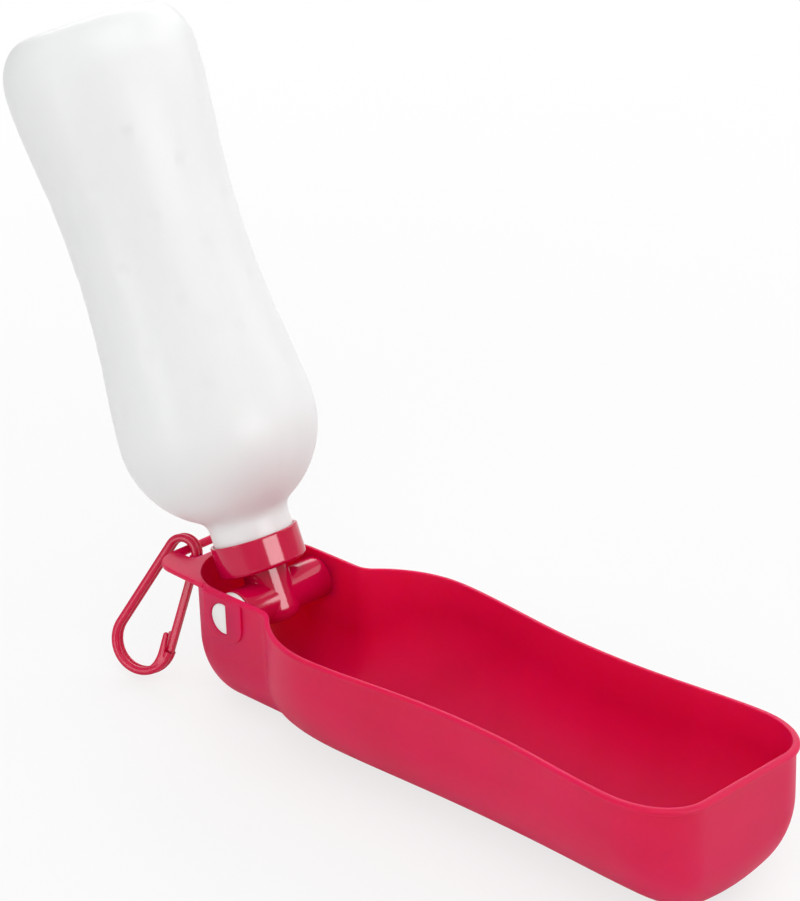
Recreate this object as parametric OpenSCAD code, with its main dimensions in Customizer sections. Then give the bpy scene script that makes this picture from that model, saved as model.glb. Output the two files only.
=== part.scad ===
// Travel drinking bottle for a dog: a squeeze bottle on a turning valve, which folds into its own bowl.
// Lengths are in millimetres. X runs along the bowl, Y across it and Z up.
// The origin is the middle of the bowl's flat foot, and the bottle stands open, as when it fills the bowl.

/* [Bottle] */
// Radius of the neck
neck_r = 14; // [12:0.5:16]
// Length of the neck, from its mouth to the shoulder
neck_l = 15.4; // [13:0.2:20]
// Radius of the round bulge next to the neck
bulge_r = 34; // [32:0.5:38]
// Distance of that bulge's widest place from the mouth
bulge_z = 48; // [44:1:54]
// Radius of the waist that the hand holds
waist_r = 29.4; // [27:0.2:31]
// Distance of the waist from the mouth
waist_z = 108; // [100:1:116]
// Radius of the bulge next to the base
top_r = 33.2; // [31:0.2:36]
// Length of the bottle, from its mouth to its base
bottle_l = 189.5; // [186:0.5:200]
// Distance of the second bulge's widest place from the base
base_rise = 17.5; // [15:0.5:24]
// Thickness of the bottle's wall
bottle_wall = 1.2; // [0.8:0.1:1.6]

/* [Valve cap] */
// Distance of the cap's underside from the turning axis
cap_up = 10.9; // [9.5:0.1:14]
// Height of the cap's skirt
cap_h = 11.3; // [9:0.1:13]
// Thickness of the skirt
cap_wall = 1.15; // [1:0.05:2]
// Room between the neck and the skirt, which holds the screw thread
thread_gap = 0.3; // [0.2:0.05:0.6]
// Thickness of the cap's deck
deck_t = 1.8; // [1.2:0.1:2.5]
// Thickness of the sealing washer in the cap
gasket_t = 1.2; // [0.8:0.1:2]
// Radius of the hole in the washer
gasket_bore_r = 9; // [6:0.5:11]
// Radius of the stem under the cap
stem_r = 8; // [7.6:0.1:9]
// Distance that the stem's round end reaches past the turning axis
stem_drop = 8.7; // [8.2:0.1:10]
// Radius of the round edge at the stem's end
stem_round = 4.5; // [2:0.1:5]
// Radius of the water way
way_r = 2.2; // [1.5:0.1:2.8]
// Radius of the funnel that leads the water into the stem
funnel_r = 6; // [4:0.1:7]
// Thickness of the barrel round the core
barrel_wall = 1.85; // [1.4:0.05:2.4]

/* [Valve core] */
// Radius of the core
core_r = 5.5; // [4.6:0.1:6]
// Running gap between the core and the barrel
core_gap = 0.05; // [0.02:0.01:0.1]
// Distance of the flat of the core's D-shaped ends from the core's axis
key_flat = 1.5; // [1:0.1:3]
// Gap between the D-shaped ends and their holes
key_gap = 0.1; // [0.05:0.05:0.3]
// Radius of the core's shoulder
shoulder_r = 7.3; // [6.6:0.1:8.5]
// Thickness of the core's shoulder
shoulder_t = 3.9; // [2:0.1:5]
// Gap at each face where the core, the barrel and the collar meet
side_gap = 0.35; // [0.3:0.05:0.6]
// Thickness of the sealing rings on the core
seal_t = 1.3; // [1:0.1:1.5]
// Distance of the sealing rings from the middle of the core
seal_y = 7; // [5:0.5:10]

/* [Bowl] */
// Thickness of the bowl's wall and floor
wall = 1.6; // [1.2:0.1:2.2]
// Distance that the rim's bead stands out from the wall along the sides
lip_w = 0.8; // [0.7:0.1:1.4]
// Distance that the rim's bead stands out from the end wall
lip_end_w = 1.5; // [0.8:0.1:2.5]
// Height of the rim's bead
lip_h = 2.4; // [2:0.1:4]
// Inner radius of the collar that holds the valve
collar_r = 21.1; // [20:0.1:24]
// Distance of the middle of the foot from the collar's round end
collar_x = 100; // [90:1:110]
// Distance of the turning axis from the centre of the collar's round end
pivot_in = 4.1; // [2:0.1:6]
// Depth of the turning axis below the rim
pivot_drop = 9.15; // [8.8:0.05:12]
// Room beside the folded bottle's first bulge
bulge_gap = 1.4; // [1:0.1:4]
// Room beside the folded bottle's waist
waist_gap = 0.8; // [0.6:0.1:4]
// Room beside the folded bottle's second bulge
top_gap = 0.7; // [0.6:0.1:4]
// Room under the folded bottle
floor_gap = 1.75; // [1:0.05:6]
// Room between the folded bottle's base and the bowl's end wall
end_gap = 2.4; // [2.2:0.1:8]
// Half the length of the straight part of the end wall
end_flat = 18.5; // [10:0.5:22]
// Radius of the round edge between the end wall and the floor
end_round = 19; // [14:1:24]
// Height over which the back of the collar rounds into the floor
back_round = 26; // [22:1:30]
// Depth by which the round underside is cut flat to stand on
foot_cut = 0.8; // [0.4:0.1:1.2]
// Distance that the pads round the D-shaped holes stand out
pad_t = 0.8; // [0.6:0.1:1.5]
// Half the width of the pads
pad_w = 9.3; // [8:0.1:11]

/* [Hanging tab] */
// Thickness of the tab
tab_t = 1.8; // [1.4:0.1:3]
// Distance of the bar's centre from the collar's outer wall
bar_out = 9.3; // [8.8:0.1:12]
// Radius of the bar that the carabiner hangs on
bar_r = 1.5; // [1.2:0.1:1.6]
// Half the length of the bar
bar_half = 11.2; // [10:0.1:13]
// Radius of the tab's corners
tab_corner = 9; // [7:0.5:11]

/* [Carabiner] */
// Distance between the centres of its two round ends
hook_l = 35; // [32:0.5:42]
// Outer radius of its small end
hook_top_r = 6.8; // [6.6:0.1:7.5]
// Outer radius of its large end
hook_low_r = 12.2; // [11:0.1:13]
// Width of its bow, seen from the front
hook_w = 2.9; // [2.5:0.1:3.2]
// Thickness of its bow, seen from the side
hook_t = 5; // [4.4:0.1:5.4]
// Distance of the eye's centre behind the bar
eye_back = 0.7; // [0.3:0.1:0.7]
// Distance of the eye's centre below the bar
eye_drop = 0.7; // [0.3:0.1:0.7]
// Width of the bevel round the eye that the bar passes through
eye_bevel = 0.7; // [0.7:0.05:0.8]
// Thickness of the gate
gate_t = 2.4; // [1.8:0.1:2.6]
// Gap on each side of the gate in its two forks
fork_gap = 0.3; // [0.2:0.05:0.4]
// Radius of the gate's pin
pin_r = 0.7; // [0.5:0.05:0.9]
// Thickness of the spring wire
wire_t = 0.4; // [0.3:0.05:0.5]

/* [Pose of the photograph] */
// Tilt of the bottle from upright, away from the bowl
tilt = 23; // [15:1:26]
// Turn of the carabiner about the upright
hook_turn = 20; // [10:1:24]
// Tilt of the carabiner out of the upright
hook_tilt = 18; // [12:1:22]
// Lean of the carabiner away from the bowl
hook_lean = 21; // [18:1:30]
// Place of the carabiner along the bar, from its middle
hook_y = -7.5; // [-8.5:0.5:-5]

/* [Hidden] */
eps = 0.01;
round_fn = 72;
small_fn = 32;

// Places of the bottle's mouth and of its second bulge
mouth_gap = 0.1;
mouth_up = cap_up + deck_t + gasket_t + mouth_gap;
top_z = bottle_l - base_rise;
skirt_in = neck_r + thread_gap;
cap_r = skirt_in + cap_wall;
barrel_in = core_r + core_gap;
barrel_r = barrel_in + barrel_wall;

// Heights and places of the bowl, which follow the folded bottle
rim_h = pivot_drop + max(bulge_r, top_r) + floor_gap + wall;
pivot_h = rim_h - pivot_drop;
pivot_x = pivot_in - collar_x;
bulge_lead = 8;
lobe_u = pivot_in + mouth_up + bulge_z - bulge_lead;
waist_u = pivot_in + mouth_up + waist_z;
end_lead = 2;
end_u = pivot_in + mouth_up + top_z - end_lead;
tip_u = pivot_in + mouth_up + bottle_l + end_gap;
lobe_w = bulge_r + bulge_gap;
waist_w = waist_r + waist_gap;
end_w = top_r + top_gap;
collar_out = collar_r + wall;
pad_y = collar_out + pad_t;

// Places along the turning axis
shoulder_y = collar_r - side_gap;
barrel_near = shoulder_y - shoulder_t - side_gap;
barrel_far = collar_r - 2 * side_gap;
key_end = pad_y - 0.3;

// Moves a piece from the turning axis, with Z along the bottle, to its place
module on_axis() {
    translate([pivot_x, 0, pivot_h]) rotate([0, -tilt, 0]) children();
}

// Eases from 0 to 1, with the change drawn towards the start or the end by the bias
function ease(t, bias) = (1 - cos(180 * pow(t, bias))) / 2;

// Outward unit normals of a path, from the neighbours of each point
function unit(v) = v / max(norm(v), 1e-6);
function left_of(v) = [-v[1], v[0]];
function loop_normal(p, i) =
    let (n = len(p), d = p[(i + 1) % n] - p[(i + n - 1) % n]) unit(left_of(d));
function path_normal(p, i) =
    let (n = len(p), d = p[min(i + 1, n - 1)] - p[max(i - 1, 0)]) unit(left_of(d));

// BOTTLE

// The outside of the bottle as [radius, height], from the mouth to the centre of the base
ball_r = bulge_r + 1;
ball_from = asin((neck_r + ball_r - bulge_r + 1.6) / ball_r);
base_flat_r = 20.5;
base_bias = 2.05;
function base_curve(t) = let (
        c = pow(max(cos(90 * t), 0), 2 / base_bias),
        s = pow(max(sin(90 * t), 0), 2 / base_bias))
    [base_flat_r + (top_r - base_flat_r) * c, top_z + (bottle_l - top_z) * s];
bottle_out = concat(
    [[neck_r, 0], [neck_r, neck_l - 1.2], [neck_r + 0.35, neck_l]],
    [for (i = [0:14]) let (a = ball_from + (90 - ball_from) * i / 14)
        [bulge_r - ball_r + ball_r * sin(a), bulge_z - ball_r * cos(a)]],
    [for (i = [1:12]) let (t = i / 12)
        [bulge_r + (waist_r - bulge_r) * ease(t, 0.8), bulge_z + (waist_z - bulge_z) * t]],
    [for (i = [1:11]) let (t = i / 12)
        [waist_r + (top_r - waist_r) * ease(t, 1.3), waist_z + (top_z - waist_z) * t]],
    [for (i = [0:9]) base_curve(i / 9)],
    [[base_flat_r - 4, bottle_l], [base_flat_r - 7, bottle_l - 1.6], [0, bottle_l - 2.6]]);
bottle_in = [for (i = [0:len(bottle_out) - 1])
    let (q = bottle_out[i] + bottle_wall * path_normal(bottle_out, i))
        i == 0 ? [neck_r - bottle_wall - 0.4, 0] :
        i == 1 ? [neck_r - bottle_wall - 0.4, neck_l - 1.2] :
        i == len(bottle_out) - 1 ? [0, bottle_out[i][1] - bottle_wall] : q];

module bottle() {
    color([0.94, 0.94, 0.94]) on_axis() translate([0, 0, mouth_up])
        rotate_extrude($fn = round_fn)
            polygon(concat(bottle_out, [for (i = [len(bottle_in) - 1:-1:0]) bottle_in[i]]));
}

// VALVE CAP: the screw skirt, the stem and the cross barrel are one moulding

edge_r = 0.6;
module skirt() {
    top = cap_up + cap_h;
    rotate_extrude($fn = round_fn) polygon([
        [0, cap_up], [cap_r - 2 * edge_r, cap_up], [cap_r - edge_r, cap_up + 0.3],
        [cap_r, cap_up + 2 * edge_r], [cap_r, top - edge_r], [cap_r - 0.2, top - 0.2],
        [cap_r - edge_r, top], [skirt_in, top], [skirt_in, cap_up + deck_t], [0, cap_up + deck_t]]);
}

// The stem is a short thick tube, with a funnel from the bottle and a round end below the barrel
module stem() {
    low = stem_round - stem_drop;
    rotate_extrude($fn = round_fn) polygon(concat(
        [[0, cap_up + eps], [0, -stem_drop]],
        [for (i = [0:6]) let (a = -90 + 15 * i)
            [stem_r - stem_round + stem_round * cos(a), low + stem_round * sin(a)]],
        [[stem_r, cap_up + eps]]));
}

module funnel() {
    rotate_extrude($fn = round_fn) polygon([
        [0, cap_up + deck_t + 1], [funnel_r + 1, cap_up + deck_t + 1], [funnel_r, cap_up + deck_t],
        [way_r, barrel_in + 1], [way_r, -barrel_in - 0.5], [way_r + 1.2, -stem_drop], [way_r + 1.2, -stem_drop - 1],
        [0, -stem_drop - 1]]);
}

module across(from, to, r) {
    translate([0, to, 0]) rotate([90, 0, 0]) cylinder(h = to - from, r = r, $fn = round_fn);
}

module valve_cap() {
    color([0.78, 0.02, 0.2]) on_axis() difference() {
        union() {
            skirt();
            stem();
            across(-barrel_near, barrel_far, barrel_r);
        }
        funnel();
        across(-barrel_near - 1, barrel_far + 1, barrel_in);
    }
}

module cap_gasket() {
    color([0.9, 0.9, 0.88]) on_axis() translate([0, 0, cap_up + deck_t]) difference() {
        cylinder(h = gasket_t, r = skirt_in - 0.1, $fn = round_fn);
        translate([0, 0, -1]) cylinder(h = gasket_t + 2, r = gasket_bore_r, $fn = round_fn);
    }
}

// VALVE CORE: held still in the bowl by its D-shaped ends, it lets water through when the bottle stands

module key_shape(grow) {
    intersection() {
        circle(r = core_r + grow, $fn = round_fn);
        translate([-core_r - 1, -core_r - 1]) square([core_r + 1 + key_flat + grow, 2 * core_r + 2]);
    }
}

module key_across(from, to, grow) {
    translate([0, to, 0]) rotate([90, 0, 0]) linear_extrude(height = to - from) key_shape(grow);
}

seal_in = core_r - seal_t;
module valve_core() {
    color([0.92, 0.93, 0.9]) translate([pivot_x, 0, pivot_h]) difference() {
        union() {
            across(-shoulder_y, -shoulder_y + shoulder_t, shoulder_r);
            across(-shoulder_y, barrel_far, core_r);
            key_across(-key_end, -shoulder_y + eps, 0);
            key_across(barrel_far - eps, key_end, 0);
        }
        for (s = [-1, 1]) difference() {
            across(s * seal_y - seal_t / 2 - 0.1, s * seal_y + seal_t / 2 + 0.1, core_r + 1);
            across(s * seal_y - seal_t, s * seal_y + seal_t, seal_in);
        }
        rotate([0, -tilt, 0]) translate([0, 0, -core_r - 1])
            cylinder(h = 2 * core_r + 2, r = way_r, $fn = round_fn);
    }
}

module core_seals() {
    color([0.2, 0.2, 0.22]) translate([pivot_x, 0, pivot_h])
        for (s = [-1, 1]) translate([0, s * seal_y, 0]) rotate([90, 0, 0])
            rotate_extrude($fn = round_fn)
                translate([seal_in + seal_t / 2 + 0.02, 0]) circle(d = seal_t, $fn = small_fn);
}

// BOWL: a trough with a collar at one end, drawn from the line inside its rim

// The line inside the rim, from the back of the collar to the far end, for one side
fillet_r = 10.5;
lobe_r = 42.5;
lobe_c = [lobe_u, lobe_w - lobe_r];
fillet_c = let (y = collar_r + fillet_r, d = lobe_r + fillet_r)
    [lobe_u - sqrt(d * d - pow(y - lobe_c[1], 2)), y];
flare_a = atan2(fillet_c[1] - lobe_c[1], fillet_c[0] - lobe_c[0]);
corner_bias = 2.1;
back_n = 10;
side_n = 9;
half_line = concat(
    [for (i = [0:back_n]) let (a = 180 - 90 * i / back_n) collar_r * [cos(a), sin(a)]],
    [[fillet_c[0] / 2, collar_r]],
    [for (i = [0:3]) let (a = -90 + (flare_a - 90) * i / 3) fillet_c + fillet_r * [cos(a), sin(a)]],
    [for (i = [1:5]) let (a = flare_a + (90 - flare_a) * i / 5) lobe_c + lobe_r * [cos(a), sin(a)]],
    [for (i = [1:side_n]) let (t = i / side_n)
        [lobe_u + (waist_u - lobe_u) * t, lobe_w + (waist_w - lobe_w) * ease(t, 0.85)]],
    [for (i = [1:side_n - 1]) let (t = i / side_n)
        [waist_u + (end_u - waist_u) * t, waist_w + (end_w - waist_w) * ease(t, 1.2)]],
    [for (i = [0:back_n]) let (a = 90 - 90 * i / back_n)
        [end_u + (tip_u - end_u) * pow(max(cos(a), 0), 2 / corner_bias),
         end_flat + (end_w - end_flat) * pow(max(sin(a), 0), 2 / corner_bias)]],
    [for (i = [1:3]) [tip_u, end_flat * (1 - i / 3)]]);
half_n = len(half_line);
rim_line = concat(half_line,
    [for (i = [half_n - 2:-1:1]) [half_line[i][0], -half_line[i][1]]]);
rim_n = len(rim_line);
rim_out = [for (i = [0:rim_n - 1]) loop_normal(rim_line, i)];

// The spine under each point of the rim, and the radius of the wall's curve there
function spine(p) = [min(max(p[0], 0), end_u), 0];
function curve_r(p) = p[0] < 0 ? collar_r + (back_round - collar_r) * pow(p[0] / collar_r, 2) :
    p[0] < end_u ? norm(p - spine(p)) :
    end_round + (end_w - end_round) * pow(abs(p[1]) / end_w, 2);

// The rim's bead, which is wider along the end wall
function lip_out(p) = lip_w + (lip_end_w - lip_w) * ease(min(max((p[0] - end_u + 20) / 30, 0), 1), 1);

// A point of the bowl: how far out it is from the rim's line, at a height or an angle down the curve
function wall_point(i, q) =
    let (p = rim_line[i] + (q[0] + q[1] * lip_out(rim_line[i])) * rim_out[i])
        [p[0] - collar_x, p[1], rim_h + q[2]];
function curve_point(i, out, share, low) =
    let (m = spine(rim_line[i]), p = rim_line[i] + out * rim_out[i], r = curve_r(rim_line[i]),
         c = r + wall - foot_cut, a = share * asin((c - low) / (r + out)),
         q = m + (p - m) * cos(a))
    [q[0] - collar_x, q[1], c - (r + out) * sin(a)];

curve_n = 9;
// Steps round the rim, each as [way out, share of the bead, height from the rim]
rim_steps = [[0, 0, -0.7], [0.2, 0, -0.2], [0.6, 0, 0], [wall - 0.7, 1, 0], [wall - 0.2, 1, -0.3],
    [wall, 1, -0.9], [wall, 1, 0.7 - lip_h], [wall - 0.3, 1, 0.2 - lip_h], [wall, 0, -lip_h - 0.2]];
bowl_rings = concat(
    [for (k = [curve_n:-1:0]) [for (i = [0:rim_n - 1]) curve_point(i, 0, k / curve_n, wall)]],
    [for (q = rim_steps) [for (i = [0:rim_n - 1]) wall_point(i, q)]],
    [for (k = [0:curve_n]) [for (i = [0:rim_n - 1]) curve_point(i, wall, k / curve_n, 0)]]);
bowl_points = [for (ring = bowl_rings) for (p = ring) p];
last_ring = (len(bowl_rings) - 1) * rim_n;
bowl_faces = concat(
    [for (r = [0:len(bowl_rings) - 2]) for (i = [0:rim_n - 1]) let (
            a = r * rim_n + i, b = r * rim_n + (i + 1) % rim_n)
        each [[b, a, a + rim_n], [b, a + rim_n, b + rim_n]]],
    [for (i = [0:half_n - 2]) let (a = i, b = i + 1, c = (rim_n - i - 1) % rim_n, d = (rim_n - i) % rim_n)
        each concat(i == half_n - 2 ? [] : [[a, b, c]], i == 0 ? [] : [[a, c, d]])],
    [for (i = [0:half_n - 2]) let (a = last_ring + i, b = last_ring + i + 1,
            c = last_ring + (rim_n - i - 1) % rim_n, d = last_ring + (rim_n - i) % rim_n)
        each concat(i == half_n - 2 ? [] : [[c, b, a]], i == 0 ? [] : [[d, c, a]])]);

bar_u = -collar_out - bar_out;
tab_side = collar_out + lip_w;
module tab() {
    slot_from = bar_u - bar_r - 1;
    difference() {
        translate([0, 0, rim_h - tab_t]) linear_extrude(height = tab_t) hull() {
            intersection() {
                circle(r = tab_side, $fn = round_fn);
                translate([-2 * tab_side, -tab_side]) square([2 * tab_side - 6, 2 * tab_side]);
            }
            for (s = [-1, 1]) translate([bar_u - bar_r + tab_corner, s * (tab_side - 1.7 - tab_corner)])
                circle(r = tab_corner, $fn = round_fn);
        }
        translate([0, 0, rim_h - tab_t - 1]) cylinder(h = tab_t + 2, r = collar_r + wall / 2, $fn = 96);
        translate([slot_from, -bar_half, rim_h - tab_t - 1])
            cube([-tab_side - slot_from, 2 * bar_half, tab_t + 2]);
    }
    translate([bar_u, bar_half + 1, rim_h - bar_r]) rotate([90, 0, 0])
        cylinder(h = 2 * bar_half + 2, r = bar_r, $fn = small_fn);
}

// A raised pad on the outside of the collar, round the hole for the core's end
module pad_shape() {
    r = 7;
    low = 8.2;
    hull() {
        for (s = [-1, 1]) translate([s * (pad_w - r), r - low]) circle(r = r, $fn = 48);
        translate([-pad_w, 0]) square([2 * pad_w, pivot_drop - lip_h / 2]);
    }
}

module bowl() {
    color([0.8, 0.16, 0.29]) difference() {
        union() {
            polyhedron(points = bowl_points, faces = bowl_faces, convexity = 6);
            translate([-collar_x, 0, 0]) tab();
            for (s = [-1, 1]) translate([pivot_x, s * (pad_y + collar_r + wall / 2) / 2, pivot_h])
                rotate([90, 0, 0])
                    linear_extrude(height = pad_y - collar_r - wall / 2, center = true) pad_shape();
        }
        translate([pivot_x, 0, pivot_h]) {
            key_across(-pad_y - 1, -collar_r + 1, key_gap);
            key_across(collar_r - 1, pad_y + 1, key_gap);
        }
    }
}

// CARABINER: its own plane has X across it, Y up along it and Z through it, from the bar's centre

hook_in = hook_top_r - hook_w;
small_c = [-eye_back, -eye_drop];
large_c = small_c + [0.6, -hook_l];
tangent_a = asin((hook_low_r - hook_top_r) / hook_l);
fork_w = gate_t + 2 * fork_gap;
gate_from = small_c + (hook_top_r - hook_w / 2) * [cos(tangent_a), sin(tangent_a)];
gate_to = large_c + (hook_low_r - hook_w / 2) * [cos(tangent_a), sin(tangent_a)];
gate_w = 2.6;
knuckle_r = 1.75;

module in_plane() {
    translate([bar_u - collar_x, hook_y, rim_h - bar_r])
        rotate([90 - hook_tilt, 0, hook_turn]) rotate([0, 0, -hook_lean]) children();
}

// The bow's outline, set in from its outer edge: the arc of the small end, then that of the large end
bow_n = 20;
function arc(c, r, from, to, n) = [for (i = [0:n]) let (a = from + (to - from) * i / n)
    c + r * [cos(a), sin(a)]];
module bow_shape(inset) {
    polygon(concat(arc(small_c, hook_top_r - inset, tangent_a, 180 - tangent_a, bow_n),
        arc(large_c, hook_low_r - inset, 180 - tangent_a, 360 + tangent_a, bow_n + 8)));
}

// The stretch of the bow that the gate closes
module gate_stretch(low) {
    along = unit(gate_to - gate_from);
    side = left_of(along);
    polygon([gate_from + 4 * side, gate_from - 4 * side,
             gate_to - low * along - 4 * side, gate_to - low * along + 4 * side]);
}

module bar_2d(from, to, w) {
    d = unit(to - from);
    n = left_of(d) * w / 2;
    polygon([from + n, to + n, to - n, from - n]);
}

// The way of the gate, cut through the middle of the fork, the nose and the end of the bow
gate_swing = 24;
module gate_way() {
    d = unit(gate_to - gate_from);
    reach = norm(gate_to - gate_from) + 0.4;
    out = 2.7 * left_of(d);
    polygon(concat([gate_from + out, gate_to + 0.4 * d + out],
        [for (i = [0:6]) let (a = -gate_swing * i / 6)
            gate_from + reach * [d[0] * cos(a) - d[1] * sin(a), d[0] * sin(a) + d[1] * cos(a)]],
        [gate_from - out]));
}

groove_d = 0.45;
groove_w = 1.6;
nose_w = 1.7;
nose_l = 5.6;

// The nose tapers from the bow to its round tip beside the gate
module nose_shape(root, tip) {
    d = unit(tip - root);
    a = atan2(d[1], d[0]);
    n = left_of(d);
    w = 1.4;
    polygon(concat([root + w * n - d, root - w * n - d], arc(tip, nose_w / 2, a - 90, a + 90, 8)));
}

module carabiner_body() {
    nose_dir = unit(gate_from - gate_to);
    nose_root = gate_to + [-1.7, -2.2];
    nose_tip = gate_to + nose_l * nose_dir + (gate_w / 2 + fork_gap + nose_w / 2) * left_of(nose_dir);
    color([0.82, 0.1, 0.25]) in_plane() difference() {
        union() {
            linear_extrude(height = hook_t, center = true) difference() {
                bow_shape(0);
                bow_shape(hook_w);
                gate_stretch(0);
            }
            linear_extrude(height = hook_t, center = true) {
                nose_shape(nose_root, nose_tip);
                translate(gate_from) circle(r = knuckle_r, $fn = small_fn);
            }
        }
        linear_extrude(height = groove_w, center = true) difference() {
            bow_shape(-1);
            bow_shape(groove_d);
        }
        linear_extrude(height = groove_w, center = true) difference() {
            bow_shape(hook_w - groove_d);
            bow_shape(hook_w + 1);
        }
        for (s = [0, 1]) translate([small_c[0], small_c[1], 0]) rotate([180 * s, 0, 0])
            translate([0, 0, hook_t / 2 - eye_bevel - 0.2])
                cylinder(h = eye_bevel + 0.4, r1 = hook_in - 0.2, r2 = hook_in + eye_bevel + 0.2, $fn = round_fn);
        linear_extrude(height = fork_w, center = true) {
            gate_way();
            translate(gate_from) circle(r = knuckle_r + 0.4, $fn = small_fn);
        }
        translate([gate_from[0], gate_from[1], -hook_t]) cylinder(h = 2 * hook_t, r = pin_r + 0.02, $fn = small_fn);
    }
}

// The spring's coil lies in a pocket in the gate's front, and its leg in a rebate along the inner edge
spring_room = 0.3;
pocket_z = gate_t / 2 - 3.4 * wire_t;
coil_r = pin_r + 0.1 + wire_t / 2;
coil_turns = 2;
coil_z = pocket_z + spring_room + wire_t / 2;
coil_rise = 1.1 * wire_t * coil_turns;
leg_l = 8;
gate_dir = unit(gate_to - gate_from);
inner_side = -left_of(gate_dir);

module carabiner_gate() {
    color([0.8, 0.06, 0.22]) in_plane() difference() {
        union() {
            translate([gate_from[0], gate_from[1], -gate_t / 2])
                cylinder(h = gate_t, r = knuckle_r, $fn = small_fn);
            linear_extrude(height = gate_t, center = true)
                bar_2d(gate_from + 0.9 * gate_dir, gate_to, gate_w);
        }
        translate([gate_from[0], gate_from[1], -hook_t])
            cylinder(h = 2 * hook_t, r = pin_r + 0.05, $fn = small_fn);
        translate([gate_from[0], gate_from[1], pocket_z])
            cylinder(h = hook_t, r = knuckle_r + 1, $fn = small_fn);
        translate([0, 0, pocket_z]) linear_extrude(height = hook_t)
            bar_2d(gate_from + 1.6 * inner_side, gate_from + 1.6 * inner_side + (leg_l + 0.6) * gate_dir,
                2 * (1.6 - coil_r + wire_t / 2 + spring_room));
    }
}

module gate_pin() {
    color([0.75, 0.75, 0.76]) in_plane() translate([gate_from[0], gate_from[1], 0])
        cylinder(h = hook_t - 0.2, r = pin_r, center = true, $fn = small_fn);
}

// A wire spring: two turns round the pin, with one leg up to the bow and one along the gate
function ring_at(c, d, r, n) =
    let (u = unit(cross(d, [0, 0, 1] + 0.01 * [1, 0, 0])), v = cross(unit(d), u))
        [for (i = [0:n - 1]) c + r * (cos(360 * i / n) * u + sin(360 * i / n) * v)];
module tube(path, r, n) {
    k = len(path);
    rings = [for (i = [0:k - 1]) ring_at(path[i], path[min(i + 1, k - 1)] - path[max(i - 1, 0)], r, n)];
    polyhedron(points = [for (ring = rings) for (p = ring) p],
        faces = concat([[for (i = [0:n - 1]) i]],
            [for (s = [0:k - 2]) for (i = [0:n - 1]) let (a = s * n + i, b = s * n + (i + 1) % n)
                each [[a, a + n, b + n], [a, b + n, b]]],
            [[for (i = [n - 1:-1:0]) (k - 1) * n + i]]));
}
coil_steps = 36;
module gate_spring() {
    from = atan2(inner_side[1], inner_side[0]);
    turn = [for (i = [0:coil_steps]) let (a = from + 360 * coil_turns * i / coil_steps)
        [coil_r * cos(a), coil_r * sin(a), coil_z + coil_rise * i / coil_steps]];
    top_leg = (knuckle_r - 0.25) * gate_dir;
    low_leg = leg_l * gate_dir;
    path = concat([turn[0] - [top_leg[0], top_leg[1], 0]], turn,
        [turn[coil_steps] + [low_leg[0], low_leg[1], 0]]);
    color([0.7, 0.7, 0.72]) in_plane() translate([gate_from[0], gate_from[1], 0])
        tube(path, wire_t / 2, 6);
}

bowl();
valve_core();
core_seals();
valve_cap();
cap_gasket();
bottle();
carabiner_body();
carabiner_gate();
gate_pin();
gate_spring();
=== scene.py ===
import math

import bmesh
import bpy
import numpy as np
from mathutils import Matrix, Vector
from mathutils.geometry import convex_hull_2d


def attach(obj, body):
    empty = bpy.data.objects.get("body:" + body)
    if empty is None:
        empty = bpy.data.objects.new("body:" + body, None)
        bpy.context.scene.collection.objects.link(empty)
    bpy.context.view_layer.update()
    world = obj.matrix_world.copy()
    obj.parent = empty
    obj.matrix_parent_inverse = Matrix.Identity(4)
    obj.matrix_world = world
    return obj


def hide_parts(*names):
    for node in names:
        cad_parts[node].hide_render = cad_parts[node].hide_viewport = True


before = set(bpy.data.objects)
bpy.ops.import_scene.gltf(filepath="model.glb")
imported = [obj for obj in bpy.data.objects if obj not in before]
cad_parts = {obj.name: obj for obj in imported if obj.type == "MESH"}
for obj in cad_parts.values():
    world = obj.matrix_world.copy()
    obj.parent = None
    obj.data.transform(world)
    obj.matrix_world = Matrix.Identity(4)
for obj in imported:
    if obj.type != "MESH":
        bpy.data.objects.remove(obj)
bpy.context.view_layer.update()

# Lengths are in millimetres, as in the part's source, and each finished mesh is scaled to metres.
MM = 0.001
TURN = 2 * math.pi
MEETING, NOTHING = 1e-4, 1e-6  # points this close are joined, and edges this short are dropped

# THE CAMERA, in metres, with the photograph's angle

EYE = Vector((0.62783523, -0.63637747, 0.51780432))
BACK = Vector((0.65751373, -0.63458708, 0.40617106))
ACROSS = Vector((0.70381468, 0.70972914, -0.03048684))
SENSOR_H = 36
FOCAL_PIXELS, PICTURE_PIXELS = 3156.73, 901


def studio_camera():
    """Looks against BACK from EYE, with ACROSS to the right in the picture."""
    camera = bpy.data.objects.new("camera", bpy.data.cameras.new("camera"))
    bpy.context.scene.collection.objects.link(camera)
    up = BACK.cross(ACROSS)
    ways = Matrix((ACROSS.normalized(), up.normalized(), BACK.normalized())).transposed()
    camera.matrix_world = Matrix.Translation(EYE) @ ways.to_4x4()
    camera.data.sensor_fit = "VERTICAL"
    camera.data.sensor_height = SENSOR_H
    camera.data.lens = SENSOR_H * FOCAL_PIXELS / PICTURE_PIXELS
    camera.data.clip_start, camera.data.clip_end = 0.05, 30
    bpy.context.scene.camera = camera


studio_camera()

# LINES AND OUTLINES


def shares(steps):
    """From 0 to 1 in even steps."""
    return np.linspace(0, 1, steps + 1)


def quarter_turn(steps):
    """Angles from nothing to a quarter turn in even steps."""
    return np.linspace(0, math.pi / 2, steps + 1)


def ease(t, bias):
    """From 0 to 1 with a soft start and end. A bias over 1 makes it start later."""
    return (1 - math.cos(math.pi * t ** bias)) / 2


def arc(centre, radius, start, stop, steps):
    """Points on a circle from one angle in degrees to another."""
    angles = np.radians(np.linspace(start, stop, steps + 1))
    return [(centre[0] + radius * math.cos(a), centre[1] + radius * math.sin(a)) for a in angles]


def disc(centre, radius, count=48):
    """A full circle as a closed outline."""
    return arc(centre, radius, 0, 360, count)[:-1]


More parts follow.
